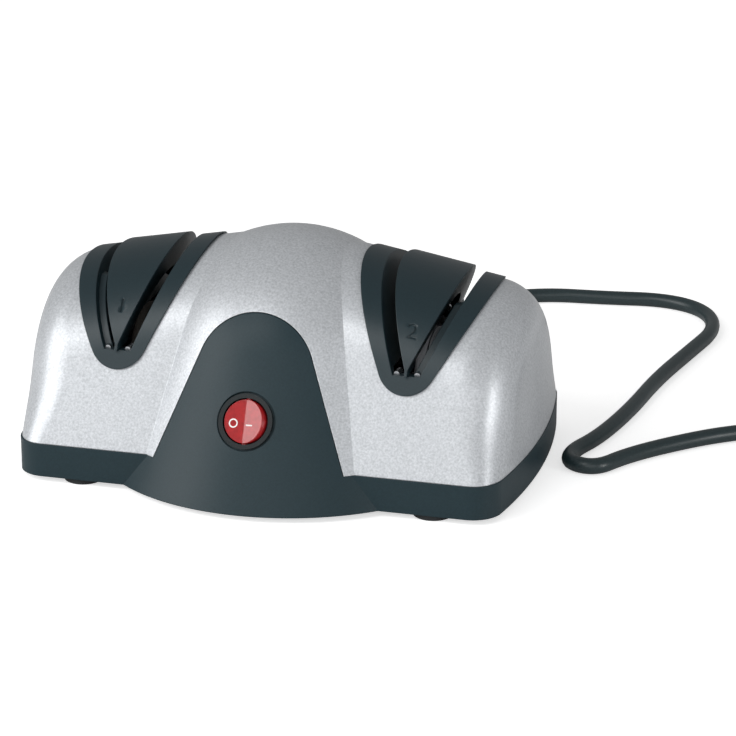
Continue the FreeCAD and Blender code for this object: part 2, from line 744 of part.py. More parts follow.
bracket_reach = 7.0
inner_bush_x = stack_half + bracket_reach
for side, sign in (("left", -1), ("right", 1)):
    low, high = S.stator_bottom + 4, S.axle_height + 18
    near = stack_half if sign > 0 else -stack_half - bracket_reach
    frame = box(f"{side}_bracket_frame", near, S.wing_mid - S.bracket_half, low, bracket_reach,
                S.bracket_half * 2, high - low)
    inner = near if sign > 0 else near + S.bracket_wall
    hollow = box(f"{side}_bracket_hollow", inner, S.wing_mid - S.bracket_half + S.bracket_wall,
                 low - 1, bracket_reach - S.bracket_wall,
                 (S.bracket_half - S.bracket_wall) * 2, high - low + 2)
    toe_x = stack_half + bracket_reach if sign > 0 else -stack_half - bracket_reach - 9
    toe = box(f"{side}_bracket_toe", toe_x, S.wing_mid - 13, low, 9, 26, S.bracket_wall)
    holes = [rod(f"{side}_bracket_bush_room", "X", -40, S.wing_mid, S.axle_height, S.bush_radius, 80)]
    holes += [rod(f"{side}_bracket_screw_room_{i}", "X", -40, S.wing_mid + y, z, 2, 80)
              for i, (y, z) in enumerate(motor_screw_spots, start=1)]
    toe_mid = toe_x + 4.5
    for i, y in enumerate((-9, 9), start=1):
        holes.append(rod(f"{side}_toe_hole_{i}", "Z", toe_mid, S.wing_mid + y, low - 1, 1.5, 8))
        lower_posts.append(rod(f"{side}_motor_post_{i}", "Z", toe_mid, S.wing_mid + y,
                               floor_top - 0.5, 4, low - floor_top + 0.5))
        lower_bores.append(rod(f"{side}_motor_post_bore_{i}", "Z", toe_mid, S.wing_mid + y,
                               low - 9, 1.5, 10))
    finished[f"{side}_motor_bracket"] = cut(f"{side}_motor_bracket",
                                            fuse(f"{side}_bracket_solid", frame, toe), hollow, *holes)
    bush_x = (inner_bush_x - S.bracket_wall / 2) * sign
    bush = rod(f"{side}_motor_bush_body", "X", bush_x - 2.5, S.wing_mid, S.axle_height,
               S.bush_radius, 5)
    bore = rod(f"{side}_motor_bush_bore", "X", bush_x - 5, S.wing_mid, S.axle_height,
               S.axle_radius + S.running_gap, 10)
    finished[f"{side}_motor_bush"] = cut(f"{side}_motor_bush", bush, bore)
    toe_screws = []
    for i, y in enumerate((-9, 9), start=1):
        shank = rod(f"{side}_toe_shank_{i}", "Z", toe_mid, S.wing_mid + y, low - 8, 1.5, 10)
        head = rod(f"{side}_toe_head_{i}", "Z", toe_mid, S.wing_mid + y, low + S.bracket_wall, 2.8, 2)
        toe_screws += [shank, head]
    finished[f"{side}_bracket_screws"] = fuse(f"{side}_bracket_screws", *toe_screws)

screw_ends = inner_bush_x
through_screws = []
for i, (y, z) in enumerate(motor_screw_spots, start=1):
    y = S.wing_mid + y
    through_screws.append(rod(f"through_shank_{i}", "X", -screw_ends, y, z, 2, screw_ends * 2))
    through_screws.append(rod(f"through_head_{i}", "X", screw_ends, y, z, 3.5, 2.4))
    through_screws.append(rod(f"through_nut_{i}", "X", -screw_ends - 2.4, y, z, 3.5, 2.4))
finished["motor_screws"] = fuse("motor_screws", *through_screws)


# Spindle: axle, rotor, fan, and for each stage a hub, two discs, a spacer and a nut


def turning(name, x, radius, length):
    return rod(name, "X", x, S.wing_mid, S.axle_height, radius, length)


axle_half = bush_seat + S.bush_length / 2 + 2
finished["drive_axle"] = turning("drive_axle", -axle_half, S.axle_radius, axle_half * 2)
rotor_core = turning("rotor_core", -stack_half, S.rotor_radius, S.stator_stack)
rotor_rings = turning("rotor_rings", -stack_half - 1.8, S.rotor_radius - 2, S.stator_stack + 3.6)
axle_room = turning("rotor_axle_room", -60, S.axle_radius, 120)
finished["motor_rotor"] = cut("motor_rotor", fuse("rotor_solid", rotor_core, rotor_rings), axle_room)

fan_x = -inner_bush_x - 20
fan_boss = turning("fan_boss", fan_x, 6.5, 9)
fan_plate = turning("fan_plate", fan_x, S.fan_radius - 4, 1.4)
blades = []
blade_count = 8
for i in range(blade_count):
    blade = box(f"fan_blade_{i + 1}", fan_x + 0.2, S.wing_mid, S.axle_height, 8, 1.2, S.fan_radius - 4)
    spoke = FreeCAD.Rotation(V(1, 0, 0), 360.0 / blade_count * i)
    blade.Placement = FreeCAD.Placement(blade.Placement.Base, spoke)
    blades.append(blade)
fan_bore = turning("fan_bore", -60, S.axle_radius, 60)
finished["cooling_fan"] = cut("cooling_fan", fuse("fan_solid", fan_boss, fan_plate, *blades), fan_bore)


def disc(name, x_start, bevel_at_start):
    """One abrasive wheel with a bevelled rim on its outer side."""
    body = turning(f"{name}_blank", x_start, S.disc_radius, S.disc_thickness)

    def rim(edge):
        bounds = edge.BoundBox
        wanted = x_start if bevel_at_start else x_start + S.disc_thickness
        return bounds.XLength < 0.01 and abs(bounds.XMin - as_size(wanted).value) < 0.01 \
            and bounds.ZLength > 20

    doc.recompute()
    bevelled = doc.addObject("Part::Chamfer", f"{name}_bevelled")
    bevelled.Base = body
    bevelled.Edges = [(i, S.disc_bevel.value, S.disc_bevel.value)
                      for i, edge in enumerate(body.Shape.Edges, start=1) if rim(edge)]
    return cut(name, bevelled, turning(f"{name}_bore", x_start - 1, S.hub_radius, S.disc_thickness + 2))


inner_x = S.stage_centre - S.disc_gap / 2 - S.disc_thickness
outer_x = S.stage_centre + S.disc_gap / 2
stage_pair("inner_disc", disc("inner_disc_right", inner_x, True))
stage_pair("outer_disc", disc("outer_disc_right", outer_x, False))
spacer = turning("spacer_blank", inner_x + S.disc_thickness, S.hub_flange_radius, S.disc_gap)
stage_pair("disc_spacer", cut("spacer_right", spacer, turning("spacer_bore", 50, S.hub_radius, 30)))
hub_length = S.disc_thickness * 2 + S.disc_gap
hub = fuse("hub_solid", turning("hub_sleeve", inner_x, S.hub_radius, hub_length),
           turning("hub_collar", inner_x - S.hub_flange, S.hub_flange_radius, S.hub_flange))
stage_pair("disc_hub", cut("hub_right", hub, turning("hub_bore", 40, S.axle_radius, 40)))
nut_blank = doc.addObject("Part::Prism", "nut_blank")
nut_blank.Polygon = 6
bind(nut_blank, Circumradius=8.5, Height=4.5)
put(nut_blank, outer_x + S.disc_thickness, S.wing_mid, S.axle_height, TURN_TO["X"])
stage_pair("disc_nut", cut("nut_right", nut_blank, turning("nut_bore", 40, S.axle_radius, 60)))


# Switch, square to the leaning front panel


panel_y = S.wing_mid - S.hump_radius - (S.seam_height - S.switch_height) * tangent(S.hump_lean)
panel_turn = FreeCAD.Rotation(V(1, 0, 0), 90 - S.hump_lean.value)
outward_y = -1 * cosine(S.hump_lean)
outward_z = sine(S.hump_lean)
up_y = sine(S.hump_lean)
up_z = cosine(S.hump_lean)


def switch_rod(name, start, radius, length):
    """A cylinder along the outward direction of the panel; start is negative inside it."""
    cylinder = doc.addObject("Part::Cylinder", name)
    bind(cylinder, Radius=radius, Height=length)
    put(cylinder, 0, panel_y + outward_y * start, S.switch_height + outward_z * start, panel_turn)
    return cylinder


def switch_box(name, x, up, start, width, height, depth):
    """A box in the frame of the panel: x across, up along the panel, start outwards."""
    block = doc.addObject("Part::Box", name)
    bind(block, Length=width, Width=height, Height=depth)
    put(block, x, panel_y + outward_y * start + up_y * up,
        S.switch_height + outward_z * start + up_z * up, panel_turn)
    return block


seat = -1.6
barrel_radius = S.bezel_bore / 2 + 1
switch_recess = switch_rod("switch_recess", seat, S.switch_recess / 2, 12)
switch_boss = switch_rod("switch_boss", -5.5, S.switch_recess / 2 + 2, 4.2)
barrel_room = switch_rod("barrel_room", -30, barrel_radius, 40)
barrel = switch_rod("barrel", -S.switch_depth, barrel_radius, S.switch_depth + seat)
flange = switch_rod("flange", seat, S.bezel_outer / 2, 1.9)
cavity = switch_rod("cavity", -12, S.bezel_bore / 2, 20)
pivot_level = -2.6
trunnion = 1.5
trunnion_room = doc.addObject("Part::Cylinder", "trunnion_room")
bind(trunnion_room, Radius=trunnion + 0.05, Height=21)
lengthways = panel_turn.multiply(TURN_TO["Y"])
put(trunnion_room, 0, panel_y + outward_y * pivot_level - up_y * 10.5,
    S.switch_height + outward_z * pivot_level - up_z * 10.5, lengthways)
finished["switch_body"] = cut("switch_body", fuse("switch_body_solid", barrel, flange), cavity,
                              trunnion_room)

rocker_ball = doc.addObject("Part::Sphere", "rocker_ball")
bind(rocker_ball, Radius=S.rocker_diameter / 2 + 0.25)
put(rocker_ball, 0, panel_y + outward_y * pivot_level, S.switch_height + outward_z * pivot_level)
rocker_disc = switch_rod("rocker_disc", -8.5, S.rocker_diameter / 2, 14)
half_travel = S.rocker_travel / 2
valley = 2.4
rocker_cuts = []
pivot_y = panel_y + outward_y * pivot_level
pivot_z = S.switch_height + outward_z * pivot_level
for side, sign in (("off", -1), ("on", 1)):
    # each face rises from the valley by half the travel
    wedge = doc.addObject("Part::Box", f"rocker_{side}_face_tool")
    bind(wedge, Length=14, Width=24, Height=12)
    tilt = panel_turn.multiply(FreeCAD.Rotation(V(0, 1, 0), -sign * half_travel.value))
    lift = tilt.multVec(V(0 if sign > 0 else -14, -12, 0)) + panel_turn.multVec(V(0, 0, valley))
    put(wedge, lift.x, pivot_y + lift.y, pivot_z + lift.z, tilt)
    rocker_cuts.append(wedge)
trunnions = doc.addObject("Part::Cylinder", "trunnions")
bind(trunnions, Radius=trunnion, Height=20.4)
put(trunnions, 0, pivot_y - up_y * 10.2, pivot_z - up_z * 10.2, lengthways)
rocker_level = fuse("rocker_level", cut("rocker_cap", common("rocker_lens", rocker_disc, rocker_ball),
                                        *rocker_cuts), trunnions)
doc.recompute()
# at rest the left half is pressed in
pivot = V(0, pivot_y.value, pivot_z.value)
rest_turn = FreeCAD.Rotation(panel_turn.multVec(V(0, 1, 0)), -half_travel.value)
rocker_level.Placement = FreeCAD.Placement(pivot - rest_turn.multVec(pivot), rest_turn)
finished["rocker_button"] = rocker_level

blades = [switch_box(f"terminal_blade_{i}", x, -3.2, -S.switch_depth - 8, 0.8, 6.4, 8)
          for i, x in enumerate((-5.4, -0.4, 4.6), start=1)]
finished["switch_terminals"] = fuse("switch_terminals", *blades)


# The two halves of the casing


exit_y = S.wing_mid + S.wing_half + S.hump_back
relief_neck = 5.2
relief_room = rod("relief_room", "Y", S.cord_exit_x, exit_y - 8, S.cord_exit_height, relief_neck, 20)
floor_vents = [box(f"floor_vent_{i}", -17.5 + 7 * i, S.wing_mid - 15, 0, 3, 30, 12) for i in range(6)]
rear_vents = [box(f"rear_vent_{i}", -22.5 + 7 * i, S.wing_mid + 30, 42, 3, 60, 20) for i in range(7)]
lower_blank = common("lower_blank", fuse("lower_outside", outer_hump, outer_skirt), lower_zone)
panel_boss = common("panel_boss", switch_boss, outer_hump)
finished["lower_housing"] = cut(
    "lower_housing",
    fuse("lower_filled", cut("lower_shell", lower_blank, inside), panel_boss, *lower_posts,
         *bearing_walls),
    switch_recess, barrel_room, relief_room, *lower_bores, *foot_bores, *bearing_bores, *floor_vents)

upper_outside = common("upper_outside", fuse("upper_forms", outer_wing, outer_hump), above_seam)
boss_limit = wing_form("boss_limit", -1)
bosses = common("upper_bosses", fuse("boss_rods", *upper_bosses), boss_limit)
twin_prism = mirror_x("guide_rim_prism_left", rim_prism)
finished["top_housing"] = cut(
    "top_housing",
    fuse("upper_filled", cut("upper_shell", upper_outside, inside), bosses),
    panel_gap, rim_prism, twin_prism, *upper_bores, *rear_vents)


# Strain relief and mains lead


flange_disc = rod("relief_flange", "Y", S.cord_exit_x, exit_y - S.shell_wall - 3, S.cord_exit_height,
                  relief_neck + 1.0, 2.6)
neck = rod("relief_neck", "Y", S.cord_exit_x, exit_y - S.shell_wall - 3, S.cord_exit_height,
           relief_neck, S.shell_wall + 5)
taper = doc.addObject("Part::Cone", "relief_taper")
bind(taper, Radius1=relief_neck + 1, Radius2=S.cord_radius + 1.1, Height=17)
put(taper, S.cord_exit_x, exit_y + 1, S.cord_exit_height, TURN_TO["Y"])
cord_room = rod("relief_cord_room", "Y", S.cord_exit_x, exit_y - 20, S.cord_exit_height,
                S.cord_radius, 60)
finished["strain_relief"] = cut("strain_relief", fuse("relief_solid", flange_disc, neck, taper),
                                cord_room)


def arc_between(start, corner, end):
    """An arc tangent to start-corner and corner-end, which are equally long."""
    chord_mid = (start + end) * 0.5
    toward = corner - chord_mid
    half_chord = (end - start).Length / 2
    base_angle = math.atan2(toward.Length, half_chord)
    sagitta = half_chord * math.tan(base_angle / 2)
    return Part.Arc(start, chord_mid + toward * (sagitta / toward.Length), end).toShape()


def tube(centreline, radius):
    """A round tube along a wire whose first edge starts straight."""
    first = centreline.Edges[0]
    start = first.valueAt(first.FirstParameter)
    heading = first.tangentAt(first.FirstParameter)
    ring = Part.Wire([Part.Circle(start, heading, radius).toShape()])
    return centreline.makePipeShell([ring], True, False)


def routed_path(points):
    """Straight runs joined by tangent arcs, each as large as its two runs allow."""
    edges = []
    last = points[0]
    radii = []
    for before, here, after in zip(points, points[1:], points[2:]):
        back, ahead = before - here, after - here
        turn = math.pi - back.getAngle(ahead)
        reach = 0.45 * min(back.Length, ahead.Length)
        radii.append(reach / math.tan(turn / 2))
        start = here + back * (reach / back.Length)
        end = here + ahead * (reach / ahead.Length)
        edges.append(Part.LineSegment(last, start).toShape())
        edges.append(arc_between(start, here, end))
        last = end
    edges.append(Part.LineSegment(last, points[-1]).toShape())
    return Part.Wire(edges), radii


table = S.cord_radius.value
exit_x = S.cord_exit_x.value
exit_z = S.cord_exit_height.value
# points of the lead, chosen by hand from the photograph where it shows
LEAD_ROUTE = [
    V(exit_x, exit_y.value - 6, exit_z),
    V(exit_x, exit_y.value + 40, exit_z),
    V(28, exit_y.value + 88, table),
    V(26, 198, table),
    V(38, 226, table),
    V(62, 240, table),
    V(90, 242, table),
    V(121, 247, table),
    V(143, 235, table),
    V(152, 208, table),
    V(145, 172, table),
    V(137, 130, table),
    V(133, 88, table),
    V(126, 50, table),
    V(117.8, 29.5, table),
    V(119.5, 16.5, table),
    V(132.3, 13.5, table),
    V(141, 30, table),
    V(156, 48, table),
    V(177, 68, table),
    V(202, 82, table),
    V(228, 87, table),
]
path, bend_radii = routed_path(LEAD_ROUTE)
print("bend radii of the lead:", [round(radius, 1) for radius in bend_radii])
lead = plain_feature("mains_lead", tube(path, S.cord_radius.value))
section = math.pi * S.cord_radius.value ** 2
print(f"lead length {path.Length:.0f}, volume over section times length "
      f"{lead.Shape.Volume / (section * path.Length):.3f}")
finished["mains_lead"] = lead


def coil_path(start, heading, layers_gap, pitch, outer, turns, lead_out_length):
    """A flat coil: in by half turns on the table, up a layer, and out again on top."""
    side = V(-heading.y, heading.x, 0)
    edges = []
    spot = start
    direction = 1
    lead_in = start - heading * (2 * S.cord_radius.value)
    edges.append(Part.LineSegment(lead_in, start).toShape())
    radii = [outer - pitch / 2 * step for step in range(turns * 2)]

    def half_turn(spot, direction, radius, rise):
        forward = heading * direction
        across = side * direction
        reach = math.hypot(radius, rise / 2)
        end = spot + across * (2 * radius) + V(0, 0, rise)
        first = spot + forward * reach
        second = end + forward * reach
        joint = (first + second) * 0.5
        edges.append(arc_between(spot, first, joint))
        edges.append(arc_between(joint, second, end))
        return end, -direction

    for radius in radii:
        spot, direction = half_turn(spot, direction, radius, 0)
    spot, direction = half_turn(spot, direction, radii[-1] - pitch / 2, layers_gap)
    for radius in reversed(radii[1:]):
        spot, direction = half_turn(spot, direction, radius, 0)
    lead_out = spot + heading * direction * lead_out_length
    edges.append(Part.LineSegment(spot, lead_out).toShape())
    return Part.Wire(edges), lead_out, heading * direction


coil_pitch = 2 * S.cord_radius.value + 0.7
coil_outer = 44.0
coil_turns = 2
plug_reach = 32.0
last_run = LEAD_ROUTE[-1] - LEAD_ROUTE[-2]
coil_heading = last_run.normalize()
coil_start = LEAD_ROUTE[-1] + coil_heading * (2 * S.cord_radius.value)
coil_wire, coil_end, coil_out = coil_path(coil_start, coil_heading, coil_pitch, coil_pitch,
                                          coil_outer, coil_turns, plug_reach)
coil = plain_feature("cord_coil", tube(coil_wire, S.cord_radius.value))
print(f"coil length {coil_wire.Length:.0f}, volume over section times length "
      f"{coil.Shape.Volume / (section * coil_wire.Length):.3f}")
finished["cord_coil"] = coil


def least_gap(wire, step, reach):
    """Least clear distance between parts of the wire that are far apart along it."""
    spots = wire.discretize(Distance=step)
    skip = int(reach / step)
    least = min((spots[i] - spots[j]).Length
                for i in range(len(spots)) for j in range(i + skip, len(spots)))
    return least - 2 * S.cord_radius.value


print(f"least gap of the coil to itself {least_gap(coil_wire, 2.0, 40):.2f}")

# two-pin plug at the end of the coil, lying on the table
plug_half = coil_end.z
plug_turn = FreeCAD.Rotation(V(0, 0, 1), coil_out)
plug_nose = 34.0


def plug_section(name, along, half_width, half_height, corner):
    """A rounded oblong square to the lead."""
    centre = coil_end + coil_out * along
    across = V(-coil_out.y, coil_out.x, 0)
    up = V(0, 0, 1)
    u, w = half_width - corner, half_height - corner
    slant = corner * math.sqrt(0.5)
    edges = []
    corners = [(u, w), (-u, w), (-u, -w), (u, -w)]
    signs = [(1, 1), (-1, 1), (-1, -1), (1, -1)]

    def at(a, b):
        return centre + across * a + up * b

    rings = []
    for (a, b), (p, q) in zip(corners, signs):
        if p * q > 0:
            ends = (at(a + corner * p, b), at(a, b + corner * q))
        else:
            ends = (at(a, b + corner * q), at(a + corner * p, b))
        rings.append((ends[0], at(a + slant * p, b + slant * q), ends[1]))
    for i, (first, middle, last) in enumerate(rings):
        edges.append(Part.Arc(first, middle, last).toShape())
        following = rings[(i + 1) % 4][0]
        edges.append(Part.LineSegment(last, following).toShape())
    return plain_feature(name, Part.Wire(edges))


plug_loft = doc.addObject("Part::Loft", "plug_shell")
plug_loft.Sections = [
    plug_section("plug_neck", 0, 7, 7, 4.5),
    plug_section("plug_shoulder", 16, 12, plug_half - 0.4, 5),
    plug_section("plug_face", plug_nose, 18, plug_half, 5),
]
plug_loft.Solid = True
plug_loft.Ruled = False
finished["plug_body"] = plug_loft
pins = []
for i, offset in enumerate((-9.5, 9.5), start=1):
    across = V(-coil_out.y, coil_out.x, 0)
    pin = doc.addObject("Part::Cylinder", f"plug_pin_{i}")
    bind(pin, Radius=2.2, Height=19)
    base = coil_end + coil_out * plug_nose + across * offset
    pin.Placement = FreeCAD.Placement(base, plug_turn)
    pins.append(pin)
finished["plug_pins"] = fuse("plug_pins", *pins)


# Build, check and write every sub-part


doc.recompute()
os.makedirs("parts", exist_ok=True)
for name, piece in finished.items():
    piece.Label = name
    shape = piece.Shape
    faults = [word for word in piece.State if word in ("Invalid", "Error")]
    if shape.isNull() or faults or not shape.isValid() or shape.Volume <= 0:
        raise RuntimeError(f"{name} did not build: {piece.State}")
    shape.exportStep(f"parts/{name}.step")
    bounds = shape.BoundBox
    print(f"{name:22s} {len(shape.Solids)} solids {shape.Volume:10.0f} mm3"
          f"  x {bounds.XMin:.1f}..{bounds.XMax:.1f} y {bounds.YMin:.1f}..{bounds.YMax:.1f}"
          f" z {bounds.ZMin:.1f}..{bounds.ZMax:.1f}")
print(f"{len(finished)} sub-parts written")
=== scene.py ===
"""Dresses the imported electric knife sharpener: finishes, marks, mains lead, light and camera.

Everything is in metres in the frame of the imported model: X along the long side, Y from the
switch side to the back, Z up from the table.
"""
import json
import math

import bmesh
import bpy
from mathutils import Matrix, Vector
from mathutils.bvhtree import BVHTree


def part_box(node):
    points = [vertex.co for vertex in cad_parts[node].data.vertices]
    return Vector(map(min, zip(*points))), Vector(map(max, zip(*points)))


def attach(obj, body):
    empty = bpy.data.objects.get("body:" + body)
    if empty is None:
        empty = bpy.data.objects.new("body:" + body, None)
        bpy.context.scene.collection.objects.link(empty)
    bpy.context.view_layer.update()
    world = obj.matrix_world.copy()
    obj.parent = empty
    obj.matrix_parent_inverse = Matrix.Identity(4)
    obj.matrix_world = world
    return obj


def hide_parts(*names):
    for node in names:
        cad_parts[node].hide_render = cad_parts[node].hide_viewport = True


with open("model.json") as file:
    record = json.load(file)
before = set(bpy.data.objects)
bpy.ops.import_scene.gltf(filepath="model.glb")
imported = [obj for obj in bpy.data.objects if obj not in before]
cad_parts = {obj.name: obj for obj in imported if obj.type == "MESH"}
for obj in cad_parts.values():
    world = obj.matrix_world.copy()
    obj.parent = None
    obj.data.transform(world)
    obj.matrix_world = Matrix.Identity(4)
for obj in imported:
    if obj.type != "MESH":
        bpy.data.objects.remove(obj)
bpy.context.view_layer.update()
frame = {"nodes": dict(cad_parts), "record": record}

bl_info = {
    "name": "Knife sharpener dressing",
    "version": (1, 0, 0),
    "blender": (4, 5, 0),
    "location": "View3D > Sidebar > Sharpener",
    "description": "Finishes, marks, lead and studio for a two-stage electric knife sharpener",
    "category": "Object",
}

MM = 0.001
TO_BACK = Vector((0, 1, 0))
SHARP_ANGLE = math.radians(32)


# Sizes and colours that a user would change


def colour(name, description, hex_text):
    """A colour property whose default is an sRGB hex value."""
    return bpy.props.StringProperty(name=name, description=description, default=hex_text)


def length(name, description, millimetres):
    """A length property whose default is given in millimetres."""
    return bpy.props.FloatProperty(
        name=name, description=description, default=millimetres * MM, subtype="DISTANCE",
        unit="LENGTH", min=0.0, precision=5)


class CasingSettings(bpy.types.PropertyGroup):
    silver: colour("Silver", "Silver pigmented ABS of the top", "#b2b6ba")
    silver_pale: colour("Silver flake", "Lighter flakes in the silver ABS", "#dcdfe3")
    black: colour("Black", "Black ABS of the base and front panel", "#162a30")
    edge_radius: length("Edge radius", "Rounding of the moulded edges", 0.5)


class GuideSettings(bpy.types.PropertyGroup):
    black: colour("Black", "Black ABS of the knife guides", "#15262c")
    digit_height: length("Digit height", "Height of the stage numbers", 6.4)
    digit_depth: length("Digit depth", "How deep the stage numbers are sunk", 0.5)
    digit_level: length("Digit level", "Height of the stage numbers above the table", 72.5)


class SwitchSettings(bpy.types.PropertyGroup):
    rocker: colour("Rocker", "Red polycarbonate of the rocker", "#9c1a1e")
    mark: colour("Marks", "Printed marks on the rocker", "#f2e9e4")
    mark_size: length("Mark size", "Diameter of the O mark, which also sets the dash", 3.8)
    mark_stroke: length("Mark stroke", "Width of the printed line", 0.55)


class LeadSettings(bpy.types.PropertyGroup):
    black: colour("Black", "Black PVC of the mains lead", "#1c292c")
    diameter: length("Diameter", "Outside diameter of the lead", 6.9)
    relief_rings: bpy.props.IntProperty(
        name="Relief rings", description="Flexing rings of the strain relief", default=5, min=1)
    plug_ribs: bpy.props.IntProperty(
        name="Plug ribs", description="Grip ribs across the top of the plug", default=5, min=1)


class StudioSettings(bpy.types.PropertyGroup):
    lens: bpy.props.FloatProperty(
        name="Lens", description="Focal length in mm", default=146.75)
    key_power: bpy.props.FloatProperty(
        name="Key", description="Power of the left softbox, which also sets the front one",
        default=33.0)
    top_power: bpy.props.FloatProperty(
        name="Top", description="Power of the top softbox, which also sets the right strip",
        default=4.0)
    world: bpy.props.FloatProperty(
        name="World", description="Strength of the surround as a light", default=0.3)


# Materials

BROAD_GRAINS = 40  # a patch of like gloss is this many grains across


def linear(hex_text):
    """sRGB hex to the linear RGBA that sockets take, by the sRGB standard's curve."""
    channels = [int(hex_text[i:i + 2], 16) / 255 for i in (1, 3, 5)]
    return [c / 12.92 if c <= 0.04045 else ((c + 0.055) / 1.055) ** 2.4
            for c in channels] + [1.0]


def add_node(tree, kind, inputs=None, **settings):
    """Adds a node; each input takes a value, or another node's output to link from."""
    node = tree.nodes.new(kind)
    for name, value in settings.items():
        setattr(node, name, value)
    for name, value in (inputs or {}).items():
        if isinstance(value, bpy.types.NodeSocket):
            tree.links.new(value, node.inputs[name])
        else:
            node.inputs[name].default_value = value
    return node


def node_of(tree, kind):
    """The node of one type in a tree that has a single one."""
    return next(node for node in tree.nodes if node.type == kind)


def per_metre(millimetres):
    """The scale at which a noise on object coordinates has features of that size."""
    return 1.0 / (millimetres * MM)


def moulded(name, base, fleck, *, grain_mm, relief_mm, roughness, spread, edge=0.0, **shader):
    """A surface with fine grain in colour, gloss and relief, and softly rounded edges."""
    material = bpy.data.materials.new(name)
    material.use_nodes = True
    tree = material.node_tree
    tree.nodes.clear()
    coords = add_node(tree, "ShaderNodeTexCoord").outputs["Object"]
    grain = add_node(tree, "ShaderNodeTexNoise", {
        "Vector": coords, "Scale": per_metre(grain_mm), "Detail": 3.0, "Roughness": 0.6})
    broad = add_node(tree, "ShaderNodeTexNoise", {
        "Vector": coords, "Scale": per_metre(grain_mm * BROAD_GRAINS), "Detail": 2.0})
    # the noise seldom comes near 0 or 1, so a narrower range gives the full step of colour
    flecks = add_node(tree, "ShaderNodeMapRange", {
        "Value": grain.outputs["Fac"], "From Min": 0.26, "From Max": 0.74})
    tint = add_node(tree, "ShaderNodeMix", {
        "Factor": flecks.outputs["Result"], "A": linear(base), "B": linear(fleck)},
        data_type="RGBA")
    gloss = add_node(tree, "ShaderNodeMapRange", {
        "Value": broad.outputs["Fac"],
        "To Min": roughness - spread, "To Max": roughness + spread})
    bump_inputs = {
        "Height": grain.outputs["Fac"], "Strength": 1.0, "Distance": relief_mm * MM}
    if edge:
        rounded = add_node(tree, "ShaderNodeBevel", {"Radius": edge}, samples=6)
        bump_inputs["Normal"] = rounded.outputs["Normal"]
    bump = add_node(tree, "ShaderNodeBump", bump_inputs)
    principled = add_node(tree, "ShaderNodeBsdfPrincipled", {
        "Base Color": tint.outputs["Result"], "Roughness": gloss.outputs["Result"],
        "Normal": bump.outputs["Normal"], **shader})
    add_node(tree, "ShaderNodeOutputMaterial", {"Surface": principled.outputs["BSDF"]})
    return material


def bright_steel():
    """Turned and ground steel: clean metal with faint tool lines."""
    return moulded("bright_steel_ground", "#b9bcc0", "#c9ccd0", grain_mm=0.3, relief_mm=0.003,
                   roughness=0.26, spread=0.05, Metallic=1.0)


def brass():
    """Drawn brass: warm metal, slightly dulled."""
    return moulded("brass_drawn", "#b59a58", "#c7ad6b", grain_mm=0.4, relief_mm=0.003,
                   roughness=0.3, spread=0.05, Metallic=1.0)


# Pieces


def paint(piece, material):
    """Puts one material on every face of a piece."""
    piece.data.materials.clear()
    piece.data.materials.append(material)


def paint_node(node, material):
    """A CAD node keeps its mesh and takes a better material in its slots."""
    piece = frame["nodes"][node]
    if piece.material_slots:
        for slot in piece.material_slots:
            slot.material = material
    else:
        piece.data.materials.append(material)


def body_of(node):
    bodies = frame["record"]["behaviour"]["bodies"]
    return next(body for body, members in bodies.items() if node in members)


def new_piece(name, data):
    piece = bpy.data.objects.new(name, data)
    bpy.context.scene.collection.objects.link(piece)
    return piece


def finish_piece(piece, body, material):
    """Paints a piece, and says which body carries it."""
    paint(piece, material)
    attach(piece, body)


def mend(mesh, weld_distance=None):
    """Turns every face outward, after joining doubled vertices where a distance is given."""
    edit = bmesh.new()
    edit.from_mesh(mesh)
    if weld_distance:
        bmesh.ops.remove_doubles(edit, verts=edit.verts, dist=weld_distance)
    bmesh.ops.recalc_face_normals(edit, faces=edit.faces)
    edit.to_mesh(mesh)
    edit.free()


def welded_copy(node, name):
    """A closed copy of a CAD node that can be cut."""
    mesh = frame["nodes"][node].data.copy()
    mesh.materials.clear()
    mend(mesh, weld_distance=1e-6)
    for polygon in mesh.polygons:
        polygon.use_smooth = True
    mesh.set_sharp_from_angle(angle=SHARP_ANGLE)
    return new_piece(name, mesh)


def settle(piece):
    """Applies the modifiers of a piece, so that it is a plain mesh at the origin."""
    evaluated = piece.evaluated_get(bpy.context.evaluated_depsgraph_get())
    mesh = bpy.data.meshes.new_from_object(evaluated)
    piece.modifiers.clear()
    piece.data = mesh


def surface_of(node):
    """The surface of a CAD node, for rays to meet."""
    mesh = frame["nodes"][node].data
    corners = [vertex.co for vertex in mesh.vertices]
    return BVHTree.FromPolygons(corners, [list(face.vertices) for face in mesh.polygons])


def surface_spot(surface, start, heading):
    """Where a ray meets a surface, and the normal there that faces the ray's start."""
    spot, normal, _, _ = surface.ray_cast(start, heading)
    if spot is None:
        raise RuntimeError(f"no surface lies ahead of {tuple(start)}")
    return spot, normal if normal.dot(heading) < 0 else -normal


def upright_frame(spot, normal):
    """A matrix whose x runs along a surface beside the X axis, y up it and z out of it."""
    across = (Vector((1, 0, 0)) - normal * normal.x).normalized()
    upward = normal.cross(across).normalized()
    turn = Matrix((across, upward, normal)).transposed().to_4x4()
    return Matrix.Translation(spot) @ turn


# The casing


